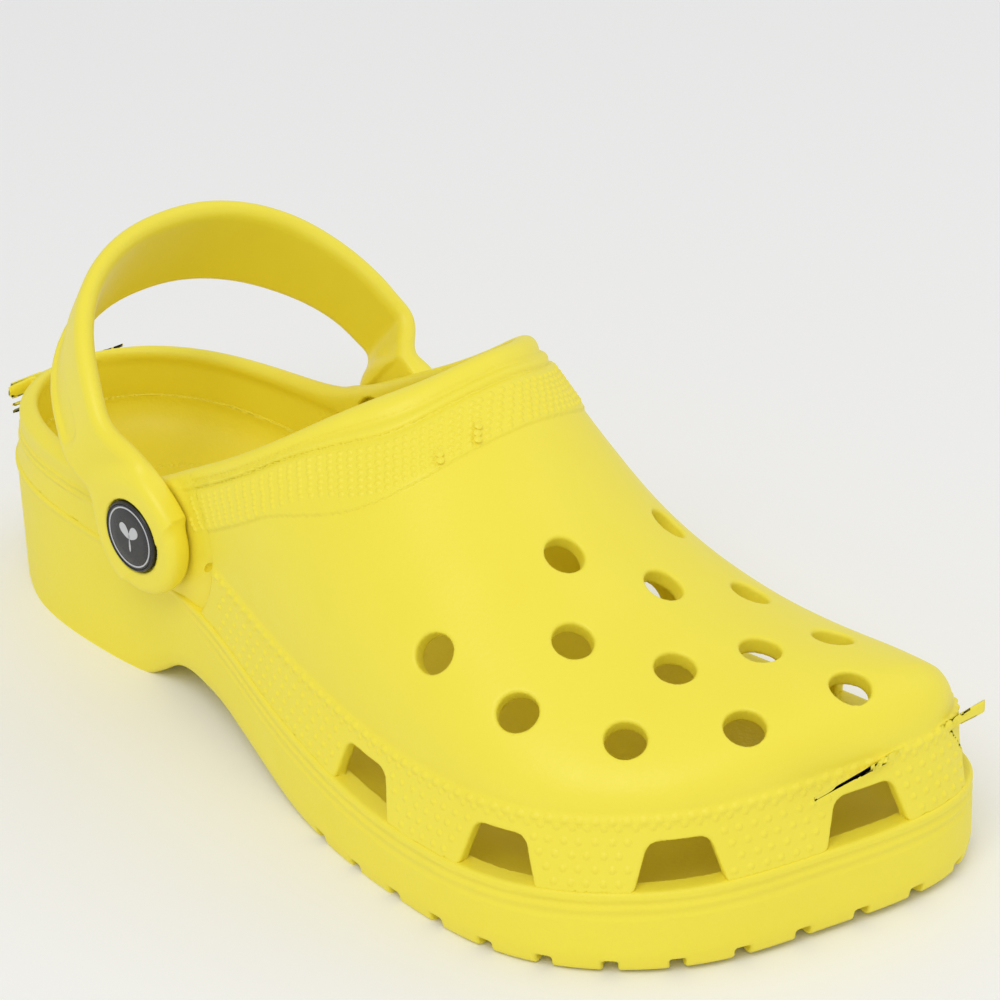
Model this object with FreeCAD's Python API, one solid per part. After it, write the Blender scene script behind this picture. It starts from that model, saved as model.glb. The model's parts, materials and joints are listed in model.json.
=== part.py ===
import FreeCAD, Part
import math
import os

# Rubber garden clog, right foot, adult EU 42-43.  Millimetres.
# Frame: +Z up, the ground is Z = 0, the toe points along -Y, the wearer's right (lateral) side is -X,
# and the origin is on the ground under the middle of the whole shoe.
# Stations are measured along the shoe from the back of the heel: y = LENGTH / 2 - station.
# The foam shell is one moulding on a real clog.  It is two solids here, the sole below the
# moulded band line and the upper above it, because each bends round the foot in its own way.

Vec = FreeCAD.Vector

# ---- driving dimensions ------------------------------------------------------------------
LENGTH = 290.0
FOOT_LINE_X = 4.0        # x of the middle line of the foot; it puts the origin under the whole shoe
WALL = 4.6               # foam wall, sides and crown
ROOF = 4.2               # how much lower the inside of the crown is than the outside
LATERAL_ARCH = 2.15      # roundness of the crown's arch; 2 is an ellipse, more is fuller
MEDIAL_ARCH = 1.7
VENT_DIAMETER = 9.6
PIVOT_STATION = 92.3     # strap pivots, level with each other on both sides
PIVOT_HEIGHT = 48.2
PAD_PLANE = 40.0         # |x| of the flat pad outside each wall, under the strap boss
PAD_RADIUS = 17.0
RECESS_RADIUS = 24.0     # the wall stays inside the pad's plane this far round the pivot
BOSS_RADIUS = 16.0
STRAP_THICKNESS = 5.2
STRAP_GAP = 0.4          # clearance between the strap boss and the pad or the rivet head
STRAP_ANGLE = 43.5       # how far the strap stands up from lying straight back, degrees
STRAP_REACH = 65.5       # pivot line to the middle of the band, at the back of the loop
STRAP_HALF_SPAN = 50.2   # middle of the band to the centre plane, beside the foot
LATERAL_FLARE = 17.0     # reach over which the band moves out from the boss to that span
MEDIAL_FLARE = 10.0
STRAP_LOOP_POWER = 2.2   # 2 would be an ellipse, more is squarer
STRAP_LOOP_STEPS = 52
POST_RADIUS = 3.0
HEAD_RADIUS = 10.4
HEAD_THICKNESS = 2.2
HEAD_ROUNDING = 0.8
CAP_RADIUS = 7.5
CAP_THICKNESS = 2.0
CAP_FLOOR = 0.8          # closed end of the cap, behind the post
BADGE_RADIUS = 9.0
BADGE_THICKNESS = 0.9
RUNNING_FIT = 0.05       # radial, of the post in its bores and the badge in its seat

# Plan outline of the sole band, (x, station), from the back of the heel round the lateral side,
# the toe and the medial side.
OUTLINE = [
    (0.0, 0.0), (-21.0, 8.0), (-33.0, 26.0), (-38.0, 52.0), (-38.8, 84.0), (-43.0, 114.0),
    (-51.0, 143.0), (-58.5, 175.0), (-62.2, 208.0), (-60.4, 238.0), (-50.5, 257.5),
    (-30.0, 275.0), (-2.0, 284.4), (22.0, 289.6), (37.0, 288.6), (47.0, 282.5), (53.3, 268.0),
    (54.6, 248.0), (53.0, 208.0),
    (47.5, 165.0), (41.5, 128.0), (39.5, 92.0), (38.0, 56.0), (33.5, 27.0), (21.0, 8.0),
]
# Side profiles, (station, height).
BAND_LINE = [(-5, 36.6), (60, 34.8), (106, 31.6), (160, 24.0), (200, 20.0), (240, 21.2), (295, 23.4)]
RAND_TOP = [(-5, 51.0), (60, 50.0), (106, 48.0), (160, 41.0), (200, 37.0), (240, 38.2), (295, 41.0)]
CREST = [(0, 210.0), (100, 142.0), (140, 115.6), (155, 109.5), (172, 100.0), (194, 84.8), (215, 71.5),
         (233, 62.5), (250, 57.6), (264, 55.5), (281, 52.0)]
FOOTBED = [(-5, 25.0), (40, 22.0), (100, 24.0), (150, 17.5), (200, 13.0), (250, 13.5), (295, 17.0)]
RIM = [(-5, 51.0), (57, 52.0), (74, 53.5), (88, 58.5), (101, 65.5), (123, 77.5), (141, 88.5), (157, 98.5),
       (166, 104.5)]
ARCH = [(82, 0.0), (94, 7.8), (112, 9.0), (135, 5.5), (163, 0.0)]
TOE_SPRING = [(232, -0.2), (250, 0.3), (270, 0.8), (295, 1.8)]
RAND_LEAN = [(0, 3.4), (30, 3.0), (72, 1.0), (100, 1.0), (190, 4.4)]   # how far the rand leans in by its top
CREST_SKEW = [(110, 0.0), (155, 14.0), (178, 6.0), (200, -2.0), (225, -4.0), (260, 7.0), (290, 11.0)]
STRAP_FRONT_EDGE = [(-2, 15.9), (9, 15.4), (18, 16.2), (32, 17.6), (52, 17.0), (74, 15.5)]  # (reach, height)
STRAP_BACK_EDGE = [(74, -16.0), (50, -10.5), (30, -6.4), (14, -8.0), (-2, -15.9)]

# |x| of the inner face of the rivet head
HEAD_PLANE = PAD_PLANE + STRAP_GAP + STRAP_THICKNESS + STRAP_GAP

VENTS = [   # (x, station) of each round vent on the crown
    (-48.5, 205.5), (-45.8, 230.0), (-33.5, 251.5), (-12.0, 210.5), (-25.5, 227.0), (-11.5, 245.0),
    (-12.0, 267.0), (5.5, 224.5), (9.0, 251.5), (15.0, 273.5), (26.5, 205.0), (28.0, 230.0),
    (29.0, 255.0),
]
PORTS = [   # (x, station) of the middle of each port in the rand, and its width at the bottom
    (-60.5, 190.0, 21.0), (-60.0, 236.0, 20.5), (-36.0, 271.0, 21.0), (8.0, 286.9, 21.5),
    (48.0, 280.8, 20.0), (54.6, 246.0, 19.0), (53.2, 210.0, 18.0), (49.3, 177.0, 16.0),
]
PORT_HEIGHT = 11.0
PORT_TAPER = 3.2         # how much narrower each side of a port is at its top
PORT_CORNER = 1.5
NOTCH_PITCH = 15.6       # tread notches along the lower edge
NOTCH = (4.6, 3.2, 5.0)  # width along the edge, height, depth into the sole
RING_POINTS = 40
COLLAR_STATION = 150.0   # the crown closes in towards the middle line no further back than this
SOLE_EDGE_DRAFT = 1.2    # how far the outline is drawn in at the ground
OUTSIDE_LEVELS = [1.5, 8, 22, 32, 42, 50, 58, 66, 76, 86, 95, 105]
INSIDE_LEVELS = [8, 20, 32, 42, 50, 58, 68, 78, 88, 97]
ROOF_LEVEL = 36.0        # above this the inside follows the crown, a little thinner across
ROOF_THINNING = 1.2
FAR = 200.0              # further than any part of the shoe


def world(x, station, z):
    """A point of the row frame, from x measured off the foot's middle line, a station and a height."""
    return Vec(x + FOOT_LINE_X, LENGTH / 2 - station, z)


def profile_height(points, station):
    """Height of a side profile at a station, along straight lines between its points."""
    for (s0, z0), (s1, z1) in zip(points, points[1:]):
        if station <= s1:
            break
    t = min(max((station - s0) / (s1 - s0), 0.0), 1.0)
    return z0 + (z1 - z0) * t


def smooth_edge(points):
    curve = Part.BSplineCurve()
    curve.interpolate(points)
    return curve.toShape()


def side_block(points, z_end, half_width=FAR / 2):
    """A solid across the whole shoe between a side profile and the level z_end."""
    line = [world(0, s, z) for s, z in points]
    first, last = line[0], line[-1]
    corner_a = Vec(last.x, last.y, z_end)
    corner_b = Vec(first.x, first.y, z_end)
    wire = Part.Wire([
        smooth_edge(line),
        Part.makeLine(last, corner_a),
        Part.makeLine(corner_a, corner_b),
        Part.makeLine(corner_b, first),
    ])
    face = Part.Face(wire)
    face.translate(Vec(-half_width, 0, 0))
    return face.extrude(Vec(2 * half_width, 0, 0))


def outline_ring(count, first=0.0):
    """Evenly spaced (x, station, outward x, outward station) points of the plan outline.

    They run from the heel along the lateral side to the toe, and back along the medial side.
    """
    curve = Part.BSplineCurve()
    curve.interpolate([Vec(x, s, 0) for x, s in OUTLINE], PeriodicFlag=True)
    ring = []
    for k in range(count):
        distance = curve.length() * (k + first) / count
        parameter = curve.parameterAtDistance(distance, curve.FirstParameter)
        point = curve.value(parameter)
        tangent = curve.tangent(parameter)[0]
        ring.append((point.x, point.y, -tangent.y, tangent.x))
    return ring


def outline_length():
    curve = Part.BSplineCurve()
    curve.interpolate([Vec(x, s, 0) for x, s in OUTLINE], PeriodicFlag=True)
    return curve.length()


RING = outline_ring(RING_POINTS)


def edge_x(station):
    """Lateral and medial x of the plan outline at a station."""
    lateral, medial = [], []
    for (x0, s0, _, _), (x1, s1, _, _) in zip(RING, RING[1:] + RING[:1]):
        if min(s0, s1) <= station < max(s0, s1):
            side = lateral if s1 > s0 else medial
            side.append(x0 + (x1 - x0) * (station - s0) / (s1 - s0))
    if not lateral or not medial:
        return 0.0, 0.0
    return min(lateral), max(medial)


def crest_height(station):
    """Height of the crown along its middle; past the last crest point it rounds down to the rand."""
    toe_station, toe_height = CREST[-1]
    if station <= toe_station:
        return profile_height(CREST, station)
    rand = profile_height(RAND_TOP, station)
    end = LENGTH - 4.0
    share = max((end - station) / (end - toe_station), 0.0)
    return rand + (toe_height - rand) * math.sqrt(share)


def crown_height(x, station):
    """Height of the outside of the upper above a plan point.

    Across the shoe it is an arch whose top is skewed sideways from the middle, more towards the
    top: a point of the even arch moves by skew * (1 - across ** 2).
    """
    rand = profile_height(RAND_TOP, station)
    lateral, medial = edge_x(station)
    half = (medial - lateral) / 2 - profile_height(RAND_LEAN, station)
    if half <= 0:
        return rand
    skew = profile_height(CREST_SKEW, station)
    off_top = x - (medial + lateral) / 2 - skew
    across = 2 * off_top / (half + math.sqrt(max(half * half - 4 * skew * off_top, 0.0)))
    power = MEDIAL_ARCH if across > 0 else LATERAL_ARCH
    arch = (1.0 - min(abs(across), 1.0) ** power) ** (1.0 / power)
    return rand + (crest_height(station) - rand) * arch


def crown_point(x, station, z):
    """Where the crown reaches height z, on the way from a point on its edge to the top of its arch."""
    top_station = min(station, COLLAR_STATION)
    top_x = sum(edge_x(top_station)) / 2 + profile_height(CREST_SKEW, top_station)
    low, high = 0.0, 0.97
    while high - low > 1e-7:
        share = (low + high) / 2
        if crown_height(x + (top_x - x) * share, station + (top_station - station) * share) < z:
            low = share
        else:
            high = share
    return x + (top_x - x) * high, station + (top_station - station) * high


def level_ring(z):
    """Plan points of the outside of the foam at height z."""
    points = []
    for x, s, nx, ns in RING:
        rand = profile_height(RAND_TOP, s)
        band = profile_height(BAND_LINE, s)
        lean = profile_height(RAND_LEAN, s)
        if z <= rand:
            back = lean * min(max((z - band) / (rand - band), 0.0), 1.0)
            points.append((x - nx * back, s - ns * back))
        else:
            back = lean + 0.3
            points.append(crown_point(x - nx * back, s - ns * back, z))
    return points


def inset_ring(points, distance):
    moved = []
    count = len(points)
    for k in range(count):
        (ax, as_), (bx, bs) = points[k - 1], points[(k + 1) % count]
        tx, ts = bx - ax, bs - as_
        size = math.hypot(tx, ts)
        # Points run from the heel down the lateral side, so inward is to the left of the path.
        moved.append((points[k][0] + ts / size * distance, points[k][1] - tx / size * distance))
    return moved


def ring_wire(points, z):
    curve = Part.BSplineCurve()
    curve.interpolate([world(x, s, z) for x, s in points], PeriodicFlag=True)
    return Part.Wire(curve.toShape())


def foam_block():
    """The whole clog as if it were solid."""
    wires = [ring_wire(inset_ring(level_ring(0), SOLE_EDGE_DRAFT), 0)]
    wires += [ring_wire(level_ring(z), z) for z in OUTSIDE_LEVELS]
    return Part.makeLoft(wires, True)


def foot_space():
    """The hollow that the foot goes into, above the footbed and out through the top."""
    wires = []
    for z in INSIDE_LEVELS:
        if z <= ROOF_LEVEL:
            inside = inset_ring(level_ring(z), WALL)
        else:
            inside = inset_ring(level_ring(z + ROOF), WALL - ROOF_THINNING)
        wires.append(ring_wire(inside, z))
    hollow = Part.makeLoft(wires, True)
    return hollow.cut(side_block(FOOTBED, -FAR))


def bottom_relief():
    """The raised arch and the lift under the toe."""
    return side_block(ARCH, -FAR).fuse(side_block(TOE_SPRING, -FAR))


def across_cylinder(side, radius, near, far):
    """A cylinder on the pivot line, on one side (-1 lateral, +1 medial), from |x| near to far."""
    start = world(side * near, PIVOT_STATION, PIVOT_HEIGHT)
    return Part.makeCylinder(radius, far - near, start, Vec(side, 0, 0))


def edge_block(place, outward, section, proud, depth):
    """A prism into the side of the foam.

    Its section is a list of (along, up) points round a place on the outline.  It starts proud of
    the outline and reaches to depth inside it.
    """
    out = Vec(outward[0], -outward[1], 0)
    along = Vec(0, 0, 1).cross(out)
    corners = [place + out * proud + along * a + Vec(0, 0, 1) * up for a, up in section]
    face = Part.Face(Part.makePolygon(corners + corners[:1]))
    return face.extrude(out * -(proud + depth))


def ports():
    """Ports through the rand: flat at the bottom, narrower at the top, with cut corners."""
    cuts = []
    for x, station, width in PORTS:
        nearest = min(RING, key=lambda p: math.hypot(p[0] - x, p[1] - station))
        foot, top = width / 2, width / 2 - PORT_TAPER
        half = [(foot + 0.5, -2.0), (top, PORT_HEIGHT - PORT_CORNER), (top - PORT_CORNER, PORT_HEIGHT)]
        section = half + [(-along, up) for along, up in reversed(half)]
        place = world(x, station, profile_height(BAND_LINE, station))
        cuts.append(edge_block(place, nearest[2:], section, 6.0, 14.0))
    return cuts


def vents():
    """Round vents, square to the crown where they are."""
    cuts = []
    step = 3.0
    for x, station in VENTS:
        z = crown_height(x, station)
        slope_x = (crown_height(x + step, station) - crown_height(x - step, station)) / (2 * step)
        slope_s = (crown_height(x, station + step) - crown_height(x, station - step)) / (2 * step)
        out = Vec(-slope_x, slope_s, 1).normalize()
        start = world(x, station, z) - out * 9.0
        cuts.append(Part.makeCylinder(VENT_DIAMETER / 2, 16.0, start, out))
    return cuts


def notches():
    """Tread notches round the lower edge, in front of and behind the arch."""
    width, height, depth = NOTCH
    section = [(-width / 2, -3.0), (width / 2, -3.0), (width / 2, height), (-width / 2, height)]
    cuts = []
    for x, station, nx, ns in outline_ring(round(outline_length() / NOTCH_PITCH), 0.5):
        if ARCH[0][0] - 6 < station < ARCH[-1][0] + 3:
            continue
        lift = max(profile_height(TOE_SPRING, station), 0.0)
        cuts.append(edge_block(world(x, station, lift), (nx, ns), section, 3.0, depth))
    return cuts


def foam_shell():
    """The whole moulding: walls, footbed, opening, strap pads and their bores."""
    block = foam_block()
    for side in (-1, 1):
        block = block.fuse(across_cylinder(side, PAD_RADIUS, PAD_PLANE - WALL, PAD_PLANE))
    shell = block.cut(foot_space()).cut(side_block(RIM, FAR)).cut(bottom_relief())
    wall_inside = PAD_PLANE - WALL
    for side in (-1, 1):
        shell = shell.cut(across_cylinder(side, RECESS_RADIUS, PAD_PLANE, PAD_PLANE + 20))
        shell = shell.cut(across_cylinder(side, CAP_RADIUS + 1.0, wall_inside - 8, wall_inside))
        shell = shell.cut(across_cylinder(side, POST_RADIUS + RUNNING_FIT, wall_inside - 10, PAD_PLANE + 5))
    return shell


def sole_and_upper():
    shell = foam_shell()
    lower = side_block(BAND_LINE, -FAR)
    sole = shell.common(lower).cut(notches())
    upper = shell.cut(lower).cut(ports()).cut(vents())
    return sole, upper


def strap_middle_line():
    """The middle of the band as (x, reach) points, straight at the bosses and round at the back."""
    boss_x = PAD_PLANE + STRAP_GAP + STRAP_THICKNESS / 2
    power = 2 / STRAP_LOOP_POWER
    line = []
    for k in range(STRAP_LOOP_STEPS + 1):
        angle = math.pi * k / STRAP_LOOP_STEPS
        side = -math.copysign(1.0, math.cos(angle))
        across = STRAP_HALF_SPAN * abs(math.cos(angle)) ** power
        reach = STRAP_REACH * max(math.sin(angle), 0.0) ** power
        if reach < STRAP_REACH / 2:
            flare = MEDIAL_FLARE if side > 0 else LATERAL_FLARE
            share = min(max((reach - HEAD_RADIUS - 0.6) / flare, 0.0), 1.0)
            across = boss_x + (across - boss_x) * share * share * (3 - 2 * share)
        line.append((side * across, reach))
    return line


def strap_loop_points(offset):
    """The strap's loop in (x, reach), the given distance outside the middle of the band."""
    middle = strap_middle_line()
    points = []
    for k in range(1, STRAP_LOOP_STEPS):
        (x0, r0), (x1, r1) = middle[k - 1], middle[k + 1]
        size = math.hypot(x1 - x0, r1 - r0)
        x, reach = middle[k]
        points.append((x - (r1 - r0) / size * offset, reach + (x1 - x0) / size * offset))
    first, last = middle[0], middle[-1]
    return [(first[0] - offset, 0.0)] + points + [(last[0] + offset, 0.0)]


def heel_strap():
    """The strap lying straight back from the pivots, then raised to STRAP_ANGLE."""
    outer = [world(x, PIVOT_STATION - r, 0) for x, r in strap_loop_points(STRAP_THICKNESS / 2)]
    inner = [world(x, PIVOT_STATION - r, 0) for x, r in strap_loop_points(-STRAP_THICKNESS / 2)]
    wire = Part.Wire([
        smooth_edge(outer),
        Part.makeLine(outer[-1], inner[-1]),
        smooth_edge(inner[::-1]),
        Part.makeLine(inner[0], outer[0]),
    ])
    loop = Part.Face(wire)
    loop.translate(Vec(0, 0, PIVOT_HEIGHT - FAR / 2))
    loop = loop.extrude(Vec(0, 0, FAR))
    front = [world(-FAR / 2, PIVOT_STATION - r, PIVOT_HEIGHT + h) for r, h in STRAP_FRONT_EDGE]
    back = [world(-FAR / 2, PIVOT_STATION - r, PIVOT_HEIGHT + h) for r, h in STRAP_BACK_EDGE]
    profile = Part.Wire([
        smooth_edge(front),
        Part.makeLine(front[-1], back[0]),
        smooth_edge(back),
        Part.makeLine(back[-1], front[0]),
    ])
    strap = loop.common(Part.Face(profile).extrude(Vec(FAR, 0, 0)))
    near = PAD_PLANE + STRAP_GAP
    for side in (-1, 1):
        strap = strap.fuse(across_cylinder(side, BOSS_RADIUS, near, near + STRAP_THICKNESS))
    for side in (-1, 1):
        strap = strap.cut(across_cylinder(side, POST_RADIUS + RUNNING_FIT, near - 5, near + 20))
    strap = strap.removeSplitter()
    strap.rotate(world(0, PIVOT_STATION, PIVOT_HEIGHT), Vec(1, 0, 0), STRAP_ANGLE)
    return strap


def rivet(side):
    """Outer half of the snap rivet: a round head with a shallow seat for the badge, and its post."""
    inner, outer = HEAD_PLANE, HEAD_PLANE + HEAD_THICKNESS
    head = across_cylinder(side, HEAD_RADIUS, inner, outer)
    outer_x = world(side * outer, 0, 0).x
    rim = [e for e in head.Edges if abs(e.BoundBox.XMin - outer_x) + abs(e.BoundBox.XMax - outer_x) < 0.01]
    head = head.makeFillet(HEAD_ROUNDING, rim)
    seat = across_cylinder(side, BADGE_RADIUS + RUNNING_FIT, outer - BADGE_THICKNESS / 2, outer + 1)
    post = across_cylinder(side, POST_RADIUS, PAD_PLANE - WALL - CAP_THICKNESS + CAP_FLOOR, inner + 0.5)
    return head.cut(seat).fuse(post).removeSplitter()


def rivet_cap(side):
    """Inner half of the snap rivet, pressed onto the post against the inside of the wall."""
    outer = PAD_PLANE - WALL
    inner = outer - CAP_THICKNESS
    cap = across_cylinder(side, CAP_RADIUS, inner, outer)
    return cap.cut(across_cylinder(side, POST_RADIUS, inner + CAP_FLOOR, outer + 1))


def badge(side):
    """Round printed disc in the seat of the rivet head."""
    seat = HEAD_PLANE + HEAD_THICKNESS - BADGE_THICKNESS / 2
    return across_cylinder(side, BADGE_RADIUS, seat, seat + BADGE_THICKNESS)


def build():
    sole, upper = sole_and_upper()
    nodes = {"sole": sole, "upper": upper, "heel_strap": heel_strap()}
    for name, side in (("lateral", -1), ("medial", 1)):
        nodes[name + "_rivet"] = rivet(side)
        nodes[name + "_rivet_cap"] = rivet_cap(side)
        nodes[name + "_badge"] = badge(side)
    return nodes


if __name__ == "__main__":
    os.makedirs("parts", exist_ok=True)
    for name, shape in build().items():
        print(name, shape.isValid(), len(shape.Solids), round(shape.Volume))
        shape.exportStep("parts/" + name + ".step")
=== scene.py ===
"""Looks of the rubber garden clog: a moulded foam shell, a riveted heel strap and two printed badges.

The foam pieces are modelled as fields: a field is negative inside the foam, and near the surface its
value is close to the distance in millimetres.  Smooth maxima of fields give the rounded moulded edges.
Foot coordinates are (x, station, z): x off the middle line of the foot, station from the back of the
heel, z up from the ground, in millimetres.
"""

import bpy
import json
import math
import numpy as np
import openvdb
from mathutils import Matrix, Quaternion, Vector
from types import SimpleNamespace


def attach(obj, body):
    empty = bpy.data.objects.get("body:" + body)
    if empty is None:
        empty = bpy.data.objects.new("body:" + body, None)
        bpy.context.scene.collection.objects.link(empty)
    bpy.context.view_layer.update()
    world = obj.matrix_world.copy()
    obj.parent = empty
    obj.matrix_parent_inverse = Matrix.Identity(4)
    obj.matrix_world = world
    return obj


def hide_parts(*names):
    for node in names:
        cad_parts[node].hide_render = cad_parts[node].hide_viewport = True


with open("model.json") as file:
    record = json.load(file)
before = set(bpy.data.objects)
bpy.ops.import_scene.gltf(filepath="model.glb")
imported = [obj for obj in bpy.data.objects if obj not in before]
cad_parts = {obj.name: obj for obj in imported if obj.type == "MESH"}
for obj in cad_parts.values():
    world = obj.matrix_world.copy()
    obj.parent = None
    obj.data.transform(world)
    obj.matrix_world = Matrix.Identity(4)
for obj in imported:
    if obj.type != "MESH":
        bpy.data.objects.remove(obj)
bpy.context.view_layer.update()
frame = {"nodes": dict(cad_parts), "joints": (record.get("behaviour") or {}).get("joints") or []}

MM = 0.001
PIVOT = [v / MM for v in frame["joints"][0]["pos_m"]]
FOOT_X = PIVOT[0]                # x of the foot's middle line in the row frame
LENGTH = 290.0
PIVOT_STATION = LENGTH / 2 - PIVOT[1]
PIVOT_HEIGHT = PIVOT[2]

# ---- the shell ----------------------------------------------------------------------------
OUTLINE = [
    (0.0, 0.0), (-21.0, 8.0), (-33.0, 26.0), (-38.0, 52.0), (-38.8, 84.0), (-43.0, 114.0),
    (-51.0, 143.0), (-58.5, 175.0), (-62.2, 208.0), (-60.4, 238.0), (-50.5, 257.5),
    (-30.0, 275.0), (-2.0, 284.4), (22.0, 289.6), (37.0, 288.6), (47.0, 282.5), (53.3, 268.0),
    (54.6, 248.0), (53.0, 208.0), (47.5, 165.0), (41.5, 128.0), (39.5, 92.0), (38.0, 56.0),
    (33.5, 27.0), (21.0, 8.0),
]
# Side profiles, (station, height); the first and last points only carry the curve past the shoe.
BAND_LINE = [(-15, 36.8), (60, 34.8), (106, 31.6), (160, 24.0), (200, 20.0), (240, 21.2), (305, 24.0)]
RAND_TOP = [(-15, 51.2), (60, 50.0), (106, 48.0), (160, 41.0), (200, 37.0), (240, 38.2), (305, 41.6)]
CREST = [(-15, 219), (100, 142.0), (140, 115.6), (155, 109.5), (172, 100.0), (194, 84.8), (215, 71.5),
         (233, 62.5), (250, 57.6), (264, 55.8), (280, 55.3), (305, 53.0)]
FOOTBED = [(-15, 25.3), (40, 22.0), (100, 24.0), (150, 17.5), (200, 13.0), (250, 13.5), (305, 17.6)]
RIM = [(-30, 51), (20, 51.2), (57, 52), (74, 53.5), (88, 58.5), (101, 65.5), (123, 77.5), (141, 88.5),
       (157, 98.5), (166, 104.8), (168.5, 113), (169, 124), (169, 140)]
GROUND = [(-15, 0.0), (81, 0.0), (85, 2.4), (93, 7.4), (112, 9.0), (135, 5.5), (160, 0.6), (166, 0.0),
          (232, 0.0), (250, 0.3), (270, 0.8), (305, 2.2)]
# Sideways leans, (station, distance).
RAND_LEAN = [(-15, 3.4), (0, 3.4), (30, 3.0), (72, 1.0), (100, 1.0), (190, 4.4), (305, 4.4)]
CREST_SKEW = [(-15, 0.0), (110, 0.0), (155, 14.0), (178, 6.0), (200, -2.0), (225, -4.0), (260, 7.0),
              (305, 12.0)]
LATERAL_ARCH = 2.15              # exponents of the crown's arch; 2 is an ellipse
MEDIAL_ARCH = 1.7
CROWN_STEP = 0.7                 # how far the crown stands back from the top of the rand
RAND_LEDGE = 0.9                 # how far the rand stands back from the top of the sole band
WALL = 4.6
TOE_ROUNDING = 9.0               # exponent: how late the crest rounds down to the rand

VENTS = [
    (-48.5, 205.5), (-45.8, 230.0), (-33.5, 251.5), (-12.0, 210.5), (-25.5, 227.0), (-11.5, 245.0),
    (-12.0, 267.0), (5.5, 224.5), (9.0, 251.5), (15.0, 273.5), (26.5, 205.0), (28.0, 230.0),
    (29.0, 255.0),
]
VENT_RADIUS = 4.75
PORTS = [   # (x, station, width at the bottom)
    (-60.5, 190.0, 21.0), (-60.0, 236.0, 20.5), (-36.0, 271.0, 21.0), (8.0, 286.9, 21.5),
    (48.0, 280.8, 20.0), (54.6, 246.0, 19.0), (53.2, 210.0, 18.0), (49.3, 177.0, 16.0),
]
PORT_HEIGHT = 11.0
PORT_TAPER = 3.2
PAD_PLANE = 40.0
PAD_RADIUS = 17.0
RECESS_RADIUS = 24.0
CAP_RADIUS = 7.5
POST_RADIUS = 3.0

# ---- the strap ----------------------------------------------------------------------------
STRAP_ANGLE = 43.5
STRAP_INNER = 40.4
STRAP_THICKNESS = 5.2
STRAP_REACH = 65.5
STRAP_HALF_SPAN = 50.2
STRAP_LOOP_POWER = 2.2
STRAP_FLARE_START = 11.0
LATERAL_FLARE = 17.0
MEDIAL_FLARE = 10.0
STRAP_FRONT_EDGE = [(-20, 15.9), (9, 15.4), (18, 16.2), (32, 17.6), (52, 17.0), (80, 15.2)]
STRAP_BACK_EDGE = [(-20, -15.9), (-2, -15.9), (14, -8.0), (30, -6.4), (50, -10.5), (80, -17.4)]
BOSS_RADIUS = 16.0
BOSS_OUTER = 47.2
HEAD_RADIUS = 9.4
HEAD_PLANE = 46.0
HEAD_OUTER = 47.9

# ---- rivets and badges: distances out from the middle line, radii and lengths ---------------
POST_END = 34.2
RIVET_HEAD_RADIUS = 9.3
BADGE_SEAT = 47.6
BADGE_RADIUS = 8.5
RING_RADIUS = 7.6
LEAF_LENGTH = 4.6
LEAF_WIDTH = 1.35
STEM_LENGTH = 3.6
STEM_WIDTH = 0.3
SPROUT_DROP = 0.4                # how far the sprout's centre lies below the disc's

# ---- the tread ------------------------------------------------------------------------------
NOTCH_PITCH = 15.6
NOTCH_HALF_WIDTH = 1.5           # at the bottom of the notch
NOTCH_HEIGHT = 3.1
NOTCH_DEPTH = 7.0                # how far a notch runs in from the edge
GROOVE_HALF_WIDTH = 1.3
GROOVE_HEIGHT = 2.2
BORDER_INSET = 9.0
BAR_PITCH = 9.2

# ---- dots, beads and nubs ---------------------------------------------------------------------
BUMP_SINK = 0.03
DOT_PITCH = 3.8
DOT_RADIUS = 1.1
DOT_HEIGHT = 0.45
RAND_ROWS = 5
RAND_DOTS_FROM = 120.0           # station where the rand's dots begin
BEADS_FROM = 112.0
BEAD_RADIUS = 1.35
COLLAR_ROWS = 7
COLLAR_PITCH = 3.4
COLLAR_DOT_RADIUS = 0.95
COLLAR_DOT_HEIGHT = 0.4
COLLAR_DOTS_FROM = 107.0
NUB_RADIUS = 1.1
NUB_ROW_CENTRE = 46.0            # station of the middle of the heel seat's row
NUB_ROW_WIDTH = 21.0
NUB_ROW_LENGTH = 22.0
NUBS_EACH_SIDE = 13
OUTLINE_MARGIN = 2.0             # how far a moulding may stand out from the outline

# ---- the camera, the lights and the mesh ------------------------------------------------------
CAMERA_ANGLES = (-40.5, 29.44, -2.71)        # azimuth, elevation and roll
CAMERA_DISTANCE = 0.93715                    # metres
CAMERA_SHIFT = (0.0659, 0.1153)
LIGHTS = (((-0.9, -0.6, 1.5), 0.9, 9.0), ((1.2, -0.6, 1.1), 1.2, 2.5))    # place, size, power
FLOOR_REACH = 6
VOXEL = 0.7
MOST_FACES = 190000


# ---- curves and profiles --------------------------------------------------------------------

def smooth_profile(points):
    """A smooth function of the first coordinate through the given points."""
    knots, values = np.array(points, float).T
    steps = np.diff(knots)
    slopes = np.diff(values) / steps
    middle = (slopes[:-1] * steps[1:] + slopes[1:] * steps[:-1]) / (steps[1:] + steps[:-1])
    tangents = np.concatenate([slopes[:1], middle, slopes[-1:]])
    dense = np.arange(knots[0], knots[-1], 0.25)
    k = np.clip(np.searchsorted(knots, dense, side="right") - 1, 0, len(steps) - 1)
    t = (dense - knots[k]) / steps[k]
    table = (values[k] * (1 + 2 * t) * (1 - t) ** 2 + values[k + 1] * t * t * (3 - 2 * t)
             + steps[k] * t * (1 - t) * (tangents[k] * (1 - t) - tangents[k + 1] * t))
    return lambda q: np.interp(q, dense, table)


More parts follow.
